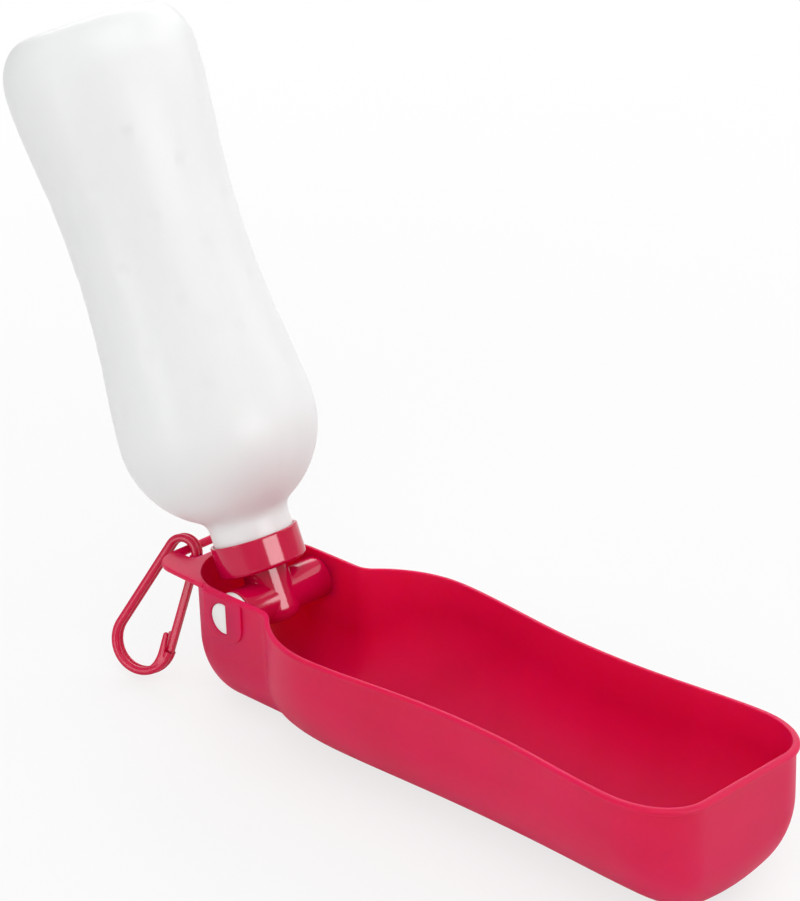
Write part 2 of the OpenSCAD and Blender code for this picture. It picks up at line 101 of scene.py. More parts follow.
def straight(a, b, steps):
    """Points from a to b."""
    return [tuple(a + (b - a) * t) for t in shares(steps)]


def bent(a, b, c, d, steps):
    """A smooth curve from a to d, drawn towards b and c."""
    a, b, c, d = (np.array(p, float) for p in (a, b, c, d))
    t = shares(steps)[:, None]
    curve = (1 - t) ** 3 * a + 3 * t * (1 - t) ** 2 * b + 3 * t * t * (1 - t) * c + t ** 3 * d
    return [tuple(p) for p in curve]


def sides_of(outline):
    """Each side of a closed outline, as its two ends."""
    return zip(outline, outline[1:] + outline[:1])


def evened(outline, longest):
    """The closed outline with its sides split into steps of about this length."""
    points = []
    for a, b in sides_of(outline):
        steps = max(1, int(math.dist(a, b) / longest))
        points += [(a[0] + (b[0] - a[0]) * k / steps, a[1] + (b[1] - a[1]) * k / steps)
                   for k in range(steps)]
    return points


def anticlockwise(outline):
    """The closed outline, turned round if it runs clockwise."""
    area = sum(a[0] * b[1] - b[0] * a[1] for a, b in sides_of(outline))
    return outline[::-1] if area < 0 else outline


def normals_2d(path, closed=True):
    """The unit normal to the left of a 2-D path at each point."""
    p = np.asarray(path, float)
    if closed:
        way = np.roll(p, -1, 0) - np.roll(p, 1, 0)
    else:
        way = np.gradient(p, axis=0)
    side = np.stack([-way[:, 1], way[:, 0]], 1)
    return side / np.maximum(np.linalg.norm(side, axis=1, keepdims=True), 1e-9)


# MESH WORK


def new_piece(name, points, faces):
    """A mesh in the scene from its points and faces."""
    mesh = bpy.data.meshes.new(name)
    points = [tuple(map(float, p)) for p in points]
    mesh.from_pydata(points, [], [tuple(map(int, f)) for f in faces])
    piece = bpy.data.objects.new(name, mesh)
    bpy.context.scene.collection.objects.link(piece)
    return piece


def tidy_mesh(piece):
    """Joins points that meet, and turns every face outwards."""
    work = bmesh.new()
    work.from_mesh(piece.data)
    bmesh.ops.remove_doubles(work, verts=work.verts, dist=MEETING)
    bmesh.ops.dissolve_degenerate(work, edges=work.edges, dist=NOTHING)
    bmesh.ops.recalc_face_normals(work, faces=work.faces)
    work.to_mesh(piece.data)
    work.free()
    return piece


def band(a, b, count):
    """The faces between two rings of points, whose first points have the numbers a and b."""
    nexts = [(i + 1) % count for i in range(count)]
    return [(a + i, a + j, b + j, b + i) for i, j in enumerate(nexts)]


def lofted(name, rings):
    """A skin over closed rings of the same number of points, with a flat face at each end."""
    rings = [np.asarray(ring, float) for ring in rings]
    count, last = len(rings[0]), len(rings) - 1
    faces = []
    for r in range(last):
        faces += band(r * count, (r + 1) * count, count)
    faces.append(tuple(range(count - 1, -1, -1)))
    faces.append(tuple(range(last * count, (last + 1) * count)))
    return tidy_mesh(new_piece(name, np.concatenate(rings), faces))


def turned(name, profile, count=160):
    """A closed profile of (radius, height) turned about Z."""
    angles = np.arange(count) * TURN / count
    points = [(r * math.cos(a), r * math.sin(a), z) for r, z in profile for a in angles]
    faces = []
    n = len(profile)
    for p in range(n):
        q = (p + 1) % n
        if profile[p][0] > NOTHING or profile[q][0] > NOTHING:
            faces += band(p * count, q * count, count)
    return tidy_mesh(new_piece(name, points, faces))


def plate(name, outline, low, high, edge=0.0):
    """An outline that runs anticlockwise, made solid from low to high, with rounded edges."""
    outline = np.asarray(outline, float)
    inward = normals_2d(outline)
    levels = [(0, low)]
    if edge:
        levels = [(edge * (1 - math.sin(a)), low + edge * (1 - math.cos(a)))
                  for a in quarter_turn(4)]
    levels += [(inset, high + low - z) for inset, z in reversed(levels)]
    rings = []
    for inset, z in levels:
        flat = outline + inset * inward
        rings.append(np.column_stack([flat, np.full(len(flat), z)]))
    return lofted(name, rings)


def moved(piece, matrix):
    """Moves the mesh itself, and keeps its faces outwards where the matrix mirrors it."""
    piece.data.transform(matrix)
    if matrix.determinant() < 0:
        piece.data.flip_normals()
    return piece


def shaped(piece, how, *tools):
    """Joins the tools to the piece (UNION) or cuts them from it (DIFFERENCE)."""
    for tool in tools:
        step = piece.modifiers.new("step", "BOOLEAN")
        step.operation = how
        step.solver = "MANIFOLD"
        step.object = tool
    bpy.context.view_layer.update()
    shown = piece.evaluated_get(bpy.context.evaluated_depsgraph_get())
    done = bpy.data.meshes.new_from_object(shown)
    piece.modifiers.clear()
    piece.data = done
    for tool in tools:
        bpy.data.objects.remove(tool)
    return piece


def finished(piece, body, material, stands_for, crease):
    """Smooths the faces but for creases, scales the piece to metres and hands it to its body."""
    piece.data.transform(Matrix.Scale(MM, 4))
    piece.data.shade_smooth()
    piece.data.set_sharp_from_angle(angle=math.radians(crease))
    piece.data.materials.clear()
    piece.data.materials.append(material)
    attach(piece, body)
    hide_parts(*stands_for)
    return piece


# SHARED SIZES, the same as in the part's source

PIVOT = Vector((-95.9, 0, 37.35))
TILT = math.radians(23)
AT_PIVOT = Matrix.Translation(PIVOT)
ON_AXIS = AT_PIVOT @ Matrix.Rotation(-TILT, 4, "Y")  # Z along the open bottle, from the pivot
ALONG_Y = Matrix.Rotation(math.radians(-90), 4, "X")  # Z to Y
MIRROR_Y = Matrix.Scale(-1, 4, (0, 1, 0))
RIM_H = 46.5
COLLAR_X, COLLAR_R, WALL = 100.0, 21.1, 1.6
COLLAR_OUT = COLLAR_R + WALL
WAY_R = 2.2  # the water way's radius

# BOTTLE, drawn from its mouth up

NECK_R, MOUTH_UP, BOTTLE_WALL = 14.0, 14.0, 1.2
BULGE_R, BULGE_Z, WAIST_R, WAIST_Z = 34.0, 48.0, 29.4, 108.0
TOP_R, TOP_Z, BOTTLE_L = 33.2, 172.0, 189.5
BALL_R = BULGE_R + 1  # the round of the shoulder
BALL_FROM = math.radians(31)  # where the ball leaves the neck's fillet, from its pole
FILLET_FROM, NECK_PULL, BALL_PULL = 13.2, 15.6, 2
WAIST_BIAS, TOP_BIAS = 0.8, 1.3
BASE_FLAT, BASE_POWER = 20.5, 2.05
RECESS, RECESS_CROWN, RECESS_R = 2.6, 0.7, 11.5
DIMPLE_R, DIMPLE_DEPTH, DIMPLE_FIRST = 3.1, 0.25, -5
DIMPLE_ROWS = ((136, 107.2, 78.4), (150, 121.2, 92.4, 63.2))
DIMPLE_COLUMNS, DIMPLE_REACH, DIMPLE_LOW, DIMPLE_HIGH = 12, 0.2, 55, 158


def on_ball(angle):
    """A point on the shoulder's ball, at an angle from its pole."""
    return (BULGE_R - BALL_R + BALL_R * math.sin(angle), BULGE_Z - BALL_R * math.cos(angle))


def bottle_outside():
    """The bottle's outside as (radius, height), from the mouth to the middle of the base."""
    line = [(NECK_R - 0.4, 0), (NECK_R - 0.1, 0.12), (NECK_R, 0.5)]
    line += [(NECK_R, z) for z in np.linspace(1.5, 12.5, 12)]
    shoulder = on_ball(BALL_FROM)
    pull = (shoulder[0] - BALL_PULL * math.cos(BALL_FROM),
            shoulder[1] - BALL_PULL * math.sin(BALL_FROM))
    line += bent((NECK_R, FILLET_FROM), (NECK_R, NECK_PULL), pull, shoulder, 12)
    line += [on_ball(a) for a in np.linspace(BALL_FROM, math.pi / 2, 42)[1:]]
    for t in shares(60)[1:]:
        line.append((BULGE_R + (WAIST_R - BULGE_R) * ease(t, WAIST_BIAS),
                     BULGE_Z + (WAIST_Z - BULGE_Z) * t))
    for t in shares(64)[1:]:
        line.append((WAIST_R + (TOP_R - WAIST_R) * ease(t, TOP_BIAS),
                     WAIST_Z + (TOP_Z - WAIST_Z) * t))
    for t in shares(36)[1:]:
        c, s = math.cos(t * math.pi / 2), math.sin(t * math.pi / 2)
        line.append((BASE_FLAT + (TOP_R - BASE_FLAT) * max(c, 0) ** (2 / BASE_POWER),
                     TOP_Z + (BOTTLE_L - TOP_Z) * s ** (2 / BASE_POWER)))
    line += bent((BASE_FLAT - 1, BOTTLE_L), (BASE_FLAT - 5, BOTTLE_L),
                 (BASE_FLAT - 5, BOTTLE_L - 1.6), (BASE_FLAT - 9, BOTTLE_L - 1.9), 14)
    return line + [(r, BOTTLE_L - RECESS + RECESS_CROWN * (r / RECESS_R) ** 2)
                   for r in (9, 6, 3, 1, 0)]


def bottle_inside(outside):
    """The inside as (radius, height), from the middle of the base back to the mouth."""
    normals = normals_2d(outside, closed=False)
    inside = [(p[0] + BOTTLE_WALL * n[0], p[1] + BOTTLE_WALL * n[1])
              for p, n in zip(outside, normals)]
    neck_points, every = 16, 3
    inside = [p for p in inside[neck_points::every] if p[0] > 0.5]
    inside.append((0, BOTTLE_L - RECESS - BOTTLE_WALL))
    bore = NECK_R - BOTTLE_WALL - 0.4
    mouth = [(bore, 14), (bore, 7), (bore, 0.4), (bore + 0.35, 0)]
    return [p for p in reversed(inside) if p[1] > 15] + mouth


def grip_dimple(radius, height, angle):
    """How deep the hand's dimples are at a place on the bottle, in rows of three and four."""
    depth = 0.0
    for column in range(DIMPLE_COLUMNS):
        centre = math.radians(DIMPLE_FIRST + 360 // DIMPLE_COLUMNS * column)
        off = (angle - centre + math.pi) % TURN - math.pi
        if abs(off) > DIMPLE_REACH:
            continue
        for row in DIMPLE_ROWS[column % 2]:
            far = math.hypot(radius * off, height - row) / DIMPLE_R
            if far < 1:
                depth = max(depth, DIMPLE_DEPTH * (1 - far ** 4) ** 2)
    return depth


def make_bottle(material):
    outside = bottle_outside()
    inside = bottle_inside(outside)
    count = 264
    angles = np.arange(count) * TURN / count
    points = []
    for (r, z), n in zip(outside, normals_2d(outside, closed=False)):
        for a in angles:
            sink = grip_dimple(r, z, a) if DIMPLE_LOW < z < DIMPLE_HIGH else 0
            out = r + sink * n[0]
            points.append((out * math.cos(a), out * math.sin(a), z + sink * n[1]))
    points += [(r * math.cos(a), r * math.sin(a), z) for r, z in inside for a in angles]
    n = len(outside) + len(inside)
    faces = []
    for p in range(n):
        if p != len(outside) - 1:  # outside and inside don't meet in the middle of the base
            faces += band(p * count, (p + 1) % n * count, count)
    bottle = tidy_mesh(new_piece("bottle_blown", points, faces))
    moved(bottle, ON_AXIS @ Matrix.Translation((0, 0, MOUTH_UP)))
    return finished(bottle, "bottle", material, ("bottle",), 50)


# VALVE CAP, drawn up from the pivot before it is tilted

CAP_UP, CAP_H, SKIRT_IN, CAP_R, DECK_T = 10.9, 11.3, 14.3, 15.45, 1.8
STEM_R, STEM_DROP, STEM_ROUND = 8.0, 8.7, 4.5
CORE_R, BARREL_IN, BARREL_R = 5.5, 5.55, 7.4
BARREL_NEAR, BARREL_FAR = 16.5, 20.4
RIM_ROUND, SKIRT_ROUND = 0.4, 0.25  # the outer and inner edge of the skirt's rim
FUNNEL_TOP_R, FUNNEL_R, WAY_END_R = 7, 6, 3.4


def across(name, start, stop, radius, edge=0.3, count=128):
    """A round bar along Y with rounded ends."""
    rounds = [(radius - edge + edge * math.sin(a), edge - edge * math.cos(a))
              for a in quarter_turn(4)]
    profile = [(0, start)] + [(r, start + z) for r, z in rounds]
    profile += [(r, stop - z) for r, z in reversed(rounds)] + [(0, stop)]
    return moved(turned(name, profile, count), ALONG_Y)


def cap_skirt():
    """The deck and skirt as (radius, height), from the middle of the underside to the deck."""
    top = CAP_UP + CAP_H
    line = [(0, CAP_UP), (CAP_R - 4, CAP_UP), (CAP_R - 2.2, CAP_UP)]
    line += bent((CAP_R - 1.5, CAP_UP), (CAP_R - 0.5, CAP_UP),
                 (CAP_R, CAP_UP + 0.5), (CAP_R, CAP_UP + 1.5), 8)
    line += [(CAP_R, z) for z in np.linspace(CAP_UP + 2.2, top - 0.7, 10)]
    line += arc((CAP_R - RIM_ROUND, top - RIM_ROUND), RIM_ROUND, 0, 90, 5)
    line += arc((SKIRT_IN + SKIRT_ROUND, top - SKIRT_ROUND), SKIRT_ROUND, 90, 180, 4)
    return line + [(SKIRT_IN, CAP_UP + DECK_T), (0, CAP_UP + DECK_T)]


def cap_stem():
    """The stem under the deck, with its round end."""
    low, high = STEM_ROUND - STEM_DROP, CAP_UP + 0.5
    line = [(0, high), (0, -STEM_DROP), (1.5, -STEM_DROP)]
    line += arc((STEM_R - STEM_ROUND, low), STEM_ROUND, -90, 0, 18)
    return line + [(STEM_R, z) for z in np.linspace(low + 1, high, 12)]


def water_way():
    """The funnel through the deck, the bore to the core and the wider opening at the stem's end."""
    return [(0, CAP_UP + 2.9), (FUNNEL_TOP_R, CAP_UP + 2.8), (FUNNEL_R, CAP_UP + DECK_T),
            (WAY_R, BARREL_IN + 1), (WAY_R, -BARREL_IN - 0.5),
            (WAY_END_R, -STEM_DROP), (WAY_END_R, -STEM_DROP - 1), (0, -STEM_DROP - 1)]


def make_cap(material):
    cap = turned("cap_moulding", cap_skirt(), 240)
    shaped(cap, "UNION", turned("stem", cap_stem(), 160),
           across("barrel", -BARREL_NEAR, BARREL_FAR, BARREL_R, 0.35, 160))
    shaped(cap, "DIFFERENCE", turned("way", water_way(), 64),
           across("bore", -BARREL_NEAR - 3.5, BARREL_FAR + 3.6, BARREL_IN, 0.2))
    moved(cap, ON_AXIS)
    return finished(cap, "valve", material, ("valve_cap",), 32)


# VALVE CORE

SHOULDER_Y, SHOULDER_T, SHOULDER_R = 20.75, 3.9, 7.3
KEY_FLAT, KEY_END, KEY_EDGE, KEY_GAP = 1.5, 23.2, 0.25, 0.1
SEAL_Y, SEAL_T, SEAL_ROOM = 7.0, 1.3, 0.1


def key_outline(grow):
    """The D shape of the core's ends, seen along Y: X across and Z up."""
    flat, radius = KEY_FLAT + grow, CORE_R + grow
    turn = math.degrees(math.acos(flat / radius))
    points = arc((0, 0), radius, turn, 360 - turn, 64)
    return points + straight(np.array(points[-1]), np.array(points[0]), 9)[1:-1]


def key_bar(name, levels):
    """A D-shaped bar along Y, from its levels as (Y, how far its outline has grown)."""
    return lofted(name, [[(x, y, z) for x, z in key_outline(grow)] for y, grow in levels])


def key_end(name, start):
    """One end of the core, with a rounded edge."""
    edge = KEY_EDGE
    return key_bar(name, [(start, 0), (KEY_END - edge, 0),
                          (KEY_END - 0.3 * edge, -0.35 * edge), (KEY_END, -edge)])


def make_core(material):
    core = across("core_turned", -SHOULDER_Y, -SHOULDER_Y + SHOULDER_T, SHOULDER_R, 0.35, 144)
    shaped(core, "UNION", across("core_bar", -SHOULDER_Y + 1, BARREL_FAR, CORE_R, 0.1),
           moved(key_end("near_end", SHOULDER_Y - 1), MIRROR_Y),
           key_end("far_end", BARREL_FAR - 0.5))
    cuts = []
    half = SEAL_T / 2 + SEAL_ROOM
    for middle in (-SEAL_Y, SEAL_Y):
        groove = [(CORE_R - SEAL_T, middle - half), (CORE_R + 1, middle - half),
                  (CORE_R + 1, middle + half), (CORE_R - SEAL_T, middle + half)]
        cuts.append(moved(turned("groove", groove, 96), ALONG_Y))
    bore = turned("bore", [(0, -7), (WAY_R, -7), (WAY_R, 7), (0, 7)], 64)
    cuts.append(moved(bore, Matrix.Rotation(-TILT, 4, "Y")))
    shaped(core, "DIFFERENCE", *cuts)
    moved(core, AT_PIVOT)
    return finished(core, "bowl", material, ("valve_core",), 32)


# BOWL: its outline has X from the middle of the collar's round end

LOBE_X, LOBE_W, LOBE_R = 58.1, 35.4, 42.5
BOWL_WAIST_X, BOWL_WAIST_W, END_X, END_W, TIP_X = 126.1, 30.2, 188.1, 33.9, 210.0
FILLET_R, END_FLAT, END_ROUND, END_POWER = 10.5, 18.5, 19.0, 2.1
BOWL_WAIST_BIAS, END_BIAS = 0.85, 1.2
BACK_ROUND, FOOT_CUT = 26.0, 0.8
LIP_W, LIP_END_W, LIP_H = 0.55, 1.1, 1.75  # a little finer than in the part's source
LIP_GROWS_FROM, LIP_GROWS_OVER = -20, 30  # where the bead grows to its end width, from END_X
DRAFT, RIM_CORNER, RIM_LAND, RIM_FALL = 0.4, 0.22, 0.35, 1.0  # the rim's top, from its inside
LIP_ROUND, LIP_FILLET = 0.25, 0.3  # the bead's lower edge, and the fillet under it
PAD_T, PAD_W, PAD_CORNER, PAD_LOW, PAD_EDGE = 0.8, 9.3, 7.0, 8.2, 0.35
PIVOT_DROP = 9.15
PAD_TOP = PIVOT_DROP - 1.2
PAD_Y = COLLAR_OUT + PAD_T
TAB_T, TAB_CORNER, TAB_EDGE, TAB_SIDE, TAB_TAPER = 1.8, 9.0, 0.45, COLLAR_OUT + 0.8, 1.7
BAR_R, BAR_HALF, BAR_X = 1.5, 11.2, -32.0
BAR_SHIFT = 0.4  # back and up, so that the bow shows as it does in the photograph
SLOT_CORNER = 1.6


def rim_path():
    """The line inside the rim, clockwise from the back of the collar, and the count of its half."""
    lobe = (LOBE_X, LOBE_W - LOBE_R)
    y = COLLAR_R + FILLET_R
    fillet = (LOBE_X - math.sqrt((LOBE_R + FILLET_R) ** 2 - (y - lobe[1]) ** 2), y)
    flare = math.degrees(math.atan2(fillet[1] - lobe[1], fillet[0] - lobe[0]))
    half = arc((0, 0), COLLAR_R, 180, 90, 40)
    half += [(fillet[0] * t, COLLAR_R) for t in shares(9)[1:-1]]
    half += arc(fillet, FILLET_R, -90, flare - 180, 12)
    half += arc(lobe, LOBE_R, flare, 90, 20)[1:]
    half += [(LOBE_X + (BOWL_WAIST_X - LOBE_X) * t,
              LOBE_W + (BOWL_WAIST_W - LOBE_W) * ease(t, BOWL_WAIST_BIAS))
             for t in shares(44)[1:]]
    half += [(BOWL_WAIST_X + (END_X - BOWL_WAIST_X) * t,
              BOWL_WAIST_W + (END_W - BOWL_WAIST_W) * ease(t, END_BIAS))
             for t in shares(40)[1:-1]]
    for a in np.radians(np.linspace(90, 0, 37)):
        c, s = max(math.cos(a), 0), max(math.sin(a), 0)
        half.append((END_X + (TIP_X - END_X) * c ** (2 / END_POWER),
                     END_FLAT + (END_W - END_FLAT) * s ** (2 / END_POWER)))
    half += [(TIP_X, END_FLAT * (1 - t)) for t in shares(9)[1:]]
    return np.array(half + [(x, -y) for x, y in half[-2:0:-1]]), len(half)


def bowl_rings(path):
    """The rings of the bowl's skin, from the inner floor over the rim to the foot."""
    out = normals_2d(path)
    x, y = path[:, 0], path[:, 1]
    spine = np.column_stack([np.clip(x, 0, END_X), np.zeros(len(x))])
    reach = np.linalg.norm(path - spine, axis=1)
    back = COLLAR_R + (BACK_ROUND - COLLAR_R) * (x / COLLAR_R) ** 2
    end = END_ROUND + (END_W - END_ROUND) * (np.abs(y) / END_W) ** 2
    curve = np.where(x < 0, back, np.where(x < END_X, reach, end))
    top_of_curve = curve + WALL - FOOT_CUT
    grown = (x - END_X - LIP_GROWS_FROM) / LIP_GROWS_OVER
    lip = LIP_W + (LIP_END_W - LIP_W) * np.array([ease(min(max(t, 0), 1), 1) for t in grown])

    def curved(more, share, low):
        """A ring on the round underside, more than the inner skin, at a share of its arc."""
        angle = share * np.arcsin((top_of_curve - low) / (curve + more))
        flat = spine + (path + more * out - spine) * np.cos(angle)[:, None]
        return np.column_stack([flat[:, 0] - COLLAR_X, flat[:, 1],
                                top_of_curve - (curve + more) * np.sin(angle)])

    def upright(more, of_lip, height):
        """A ring on the upright wall or rim, more than the inner skin and a share of the bead."""
        flat = path + (more + of_lip * lip)[:, None] * out
        return np.column_stack([flat[:, 0] - COLLAR_X, flat[:, 1],
                                np.broadcast_to(height, len(x))])

    rings = [curved(0, share, WALL) for share in np.linspace(1, 0, 37)]
    top = RIM_H - RIM_CORNER
    for t in (0.25, 0.5, 0.75):
        rings.append(upright(DRAFT * t, 0, top_of_curve + (top - top_of_curve) * t))
    for a in quarter_turn(4):
        rings.append(upright(DRAFT + RIM_CORNER - RIM_CORNER * math.cos(a), 0,
                             top + RIM_CORNER * math.sin(a)))
    outer = DRAFT + RIM_CORNER + RIM_LAND
    for a in quarter_turn(8):
        s = math.sin(a)
        rings.append(upright(outer + (WALL - outer) * s, s,
                             RIM_H - RIM_FALL + RIM_FALL * math.cos(a)))
    low = RIM_H - LIP_H
    for a in quarter_turn(4):
        rings.append(upright(WALL - LIP_ROUND + LIP_ROUND * math.cos(a), 1,
                             low + LIP_ROUND - LIP_ROUND * math.sin(a)))
    for a in quarter_turn(5):
        rings.append(upright(WALL + LIP_FILLET - LIP_FILLET * math.sin(a), 0,
                             low - LIP_FILLET + LIP_FILLET * math.cos(a)))
    for t in (0.25, 0.5, 0.75):
        rings.append(upright(WALL, 0, low - LIP_FILLET + (top_of_curve - low + LIP_FILLET) * t))
    return rings + [curved(WALL, share, 0) for share in shares(40)]


def bowl_skin():
    """The bowl without its tab and pads. Its two floors are closed with strips across it."""
    path, half = rim_path()
    rings = bowl_rings(path)
    count = len(path)
    faces = []
    for start in range(0, (len(rings) - 1) * count, count):
        faces += [(j, i, i + count, j + count) for i, j, _, _ in band(start, start, count)]
    for first, flip in ((0, False), ((len(rings) - 1) * count, True)):
        for i in range(half - 1):
            strip = (i, i + 1, (count - i - 1) % count, (count - i) % count)
            face = list(dict.fromkeys(first + k for k in strip))
            faces.append(tuple(reversed(face)) if flip else tuple(face))
    return tidy_mesh(new_piece("bowl_moulding", np.concatenate(rings), faces))


def tab_plate():
    """The hanging tab with its open slot; the bar across it is made by itself."""
    behind = -6
    outline = [p for p in disc((0, 0), TAB_SIDE, 180) if p[0] < behind]
    for s in (-1, 1):
        corner = (BAR_X - BAR_R + TAB_CORNER, s * (TAB_SIDE - TAB_TAPER - TAB_CORNER))
        outline += disc(corner, TAB_CORNER, 96)
    hull = anticlockwise([outline[i] for i in convex_hull_2d(outline)])
    tab = plate("tab", evened(hull, 1.2), RIM_H - TAB_T, RIM_H, TAB_EDGE)
    inner, outer, low, high = -TAB_SIDE - SLOT_CORNER, BAR_X - BAR_R - 1, RIM_H - 6.5, RIM_H + 3.5
    slot = arc((inner, BAR_HALF - SLOT_CORNER), SLOT_CORNER, 0, 90, 8)
    slot += [(x, BAR_HALF) for x in np.linspace(inner - 1, outer, 5)]
    slot += [(x, -BAR_HALF) for x in np.linspace(outer, inner - 1, 5)]
    slot += arc((inner, -BAR_HALF + SLOT_CORNER), SLOT_CORNER, -90, 0, 8)
    in_wall = COLLAR_R + WALL / 2
    inside = turned("inside", [(0, low), (in_wall, low), (in_wall, high), (0, high)], 144)
    shaped(tab, "DIFFERENCE", plate("slot", slot, low, high), inside)
    return moved(tab, Matrix.Translation((-COLLAR_X, 0, 0)))


def hinge_pad(side):
    """The raised pad round a D-shaped hole, drawn in X and Z and made solid along Y."""
    centre_z = PAD_CORNER - PAD_LOW
    outline = arc((PAD_W - PAD_CORNER, centre_z), PAD_CORNER, -90, 0, 24)
    outline += [(PAD_W, z) for z in np.linspace(0, PAD_TOP, 6)]
    outline += [(x, PAD_TOP) for x in np.linspace(PAD_W - 2, -PAD_W + 2, 6)]
    outline += [(-PAD_W, z) for z in np.linspace(PAD_TOP, 0, 6)]
    outline += arc((PAD_CORNER - PAD_W, centre_z), PAD_CORNER, 180, 270, 24)
    outline = np.array(outline)
    inward = normals_2d(outline)
    levels = [(PAD_EDGE * (1 - math.sin(a)), PAD_EDGE * (1 - math.cos(a))) for a in quarter_turn(4)]
    rings = []
    for inset, depth in levels + [(0, PAD_T + WALL / 2)]:
        flat = outline + inset * inward
        rings.append([(x, side * (PAD_Y - depth), z) for x, z in flat])
    return moved(lofted("pad", rings), AT_PIVOT)


def key_hole():
    """What is cut for one end of the core, a little wider at its mouth."""
    stop, flare = PAD_Y + 0.9, 1.2
    return key_bar("hole", [(COLLAR_R - 1, KEY_GAP), (stop - flare, KEY_GAP),
                            (stop, KEY_GAP + flare)])


def make_bowl(material):
    bowl = bowl_skin()
    bar = across("bar", -BAR_HALF - 1, BAR_HALF + 1, BAR_R, 0.1, 48)
    moved(bar, Matrix.Translation((BAR_X - COLLAR_X - BAR_SHIFT, 0, RIM_H - BAR_R + BAR_SHIFT)))
    shaped(bowl, "UNION", tab_plate(), hinge_pad(1), hinge_pad(-1), bar)
    shaped(bowl, "DIFFERENCE", moved(key_hole(), AT_PIVOT), moved(key_hole(), AT_PIVOT @ MIRROR_Y))
    return finished(bowl, "bowl", material, ("bowl",), 38)


# CARABINER: X across it, Y up along it and Z through it, from the bar's centre

HOOK_L, HOOK_TOP_R, HOOK_LOW_R, HOOK_W, HOOK_T = 35.0, 6.8, 12.2, 2.9, 5.0
GATE_T, GATE_W, GATE_EDGE, FORK_GAP, PIN_R, KNUCKLE_R = 2.4, 2.6, 0.3, 0.3, 0.7, 1.75
SMALL_C = np.array([-0.7, -0.7])
LARGE_C = SMALL_C + [0.6, -HOOK_L]
LEAN = math.degrees(math.asin((HOOK_LOW_R - HOOK_TOP_R) / HOOK_L))
FLANK = np.array([math.cos(math.radians(LEAN)), math.sin(math.radians(LEAN))])
GATE_FROM = SMALL_C + (HOOK_TOP_R - HOOK_W / 2) * FLANK
GATE_TO = LARGE_C + (HOOK_LOW_R - HOOK_W / 2) * FLANK
GATE_WAY = (GATE_TO - GATE_FROM) / np.linalg.norm(GATE_TO - GATE_FROM)
LEFT = np.array([-GATE_WAY[1], GATE_WAY[0]])
SWUNG, LEANT, TURNED, HOOK_Y = 20, 72, -21, -7.5
IN_PLANE = (Matrix.Translation((BAR_X - COLLAR_X, HOOK_Y, RIM_H - BAR_R))
            @ Matrix.Rotation(math.radians(SWUNG), 4, "Z")
            @ Matrix.Rotation(math.radians(LEANT), 4, "X")
            @ Matrix.Rotation(math.radians(TURNED), 4, "Z"))
GROOVE, GROOVE_HALF, BOW_ROUND = 0.45, 0.8, 1.2
NOSE_R, NOSE_L, NOSE_EDGE, KNUCKLE_EDGE = 0.85, 5.6, 0.4, 0.35
GATE_SWEEP, GATE_ROOM = 24, 2.7
SPRING_X, SPRING_L, COIL_T, WIRE_ROOM = 1.6, 8.6, 0.3, 0.3
THROUGH = 5  # past both faces of the carabiner


def bow_section():
    """The bow's cross-section as (out, through): round faces and a groove along each edge."""
    half, deep = HOOK_W / 2, HOOK_T / 2
    quarter = [(half - GROOVE, 0.0), (half - GROOVE, GROOVE_HALF - 0.25),
               (half - GROOVE + 0.06, GROOVE_HALF - 0.08), (half - 0.12, GROOVE_HALF),
               (half - 0.02, GROOVE_HALF + 0.08), (half, GROOVE_HALF + 0.2)]
    quarter += arc((half - BOW_ROUND, deep - BOW_ROUND), BOW_ROUND, 0, 90, 8)
    top = quarter + [(-o, t) for o, t in reversed(quarter)]
    return top + [(o, -t) for o, t in reversed(top[1:-1])]


def bow_line():
    """The middle of the bow, from the gate's pin over the small end and round the large end."""
    small = arc(SMALL_C, HOOK_TOP_R - HOOK_W / 2, LEAN, 180 - LEAN, 40)
    large = arc(LARGE_C, HOOK_LOW_R - HOOK_W / 2, 180 - LEAN, 360 + LEAN, 60)
    return np.array(small + straight(np.array(small[-1]), np.array(large[0]), 29)[1:-1] + large)


def nose_outline():
    """The nose that the gate shuts against, with a smooth root on the inside of the large end."""
    root = GATE_TO + [-1.7, -2.2]
    tip = GATE_TO - NOSE_L * GATE_WAY + (GATE_W / 2 + FORK_GAP + NOSE_R) * -LEFT
    way = (tip - root) / np.linalg.norm(tip - root)
    side = np.array([-way[1], way[0]])
    turn = math.degrees(math.atan2(way[1], way[0]))
    low, inside = math.radians(-50), HOOK_LOW_R - HOOK_W
    foot = LARGE_C + [inside * math.cos(low), inside * math.sin(low)]
    sunk = LARGE_C + [(inside + 0.9) * math.cos(low), (inside + 0.9) * math.sin(low)]
    along = np.array([-math.sin(low), math.cos(low)])
    line = [tuple(sunk), tuple(root - 1.4 * side - 1.6 * way + [1.2, 0]), tuple(root - 1.4 * side)]
    line += arc(tip, NOSE_R, turn - 90, turn + 90, 12)
    line += bent(root + 1.1 * side + 1.2 * way, root + 1.3 * side - 1.6 * way,
                 foot + 2.4 * along, foot, 12)
    return evened(line, 0.7)


def gate_room():
    """The outline that the gate sweeps through when it opens, cut from the bow's two forks."""
    reach = np.linalg.norm(GATE_TO - GATE_FROM) + 0.4
    room = [tuple(GATE_FROM + GATE_ROOM * LEFT), tuple(GATE_TO + 0.4 * GATE_WAY + GATE_ROOM * LEFT)]
    for k in range(13):
        a = math.radians(-GATE_SWEEP * k / 12)
        c, s = math.cos(a), math.sin(a)
        room.append((GATE_FROM[0] + reach * (GATE_WAY[0] * c - GATE_WAY[1] * s),
                     GATE_FROM[1] + reach * (GATE_WAY[0] * s + GATE_WAY[1] * c)))
    room.append(tuple(GATE_FROM - GATE_ROOM * LEFT))
    return room[::-1]


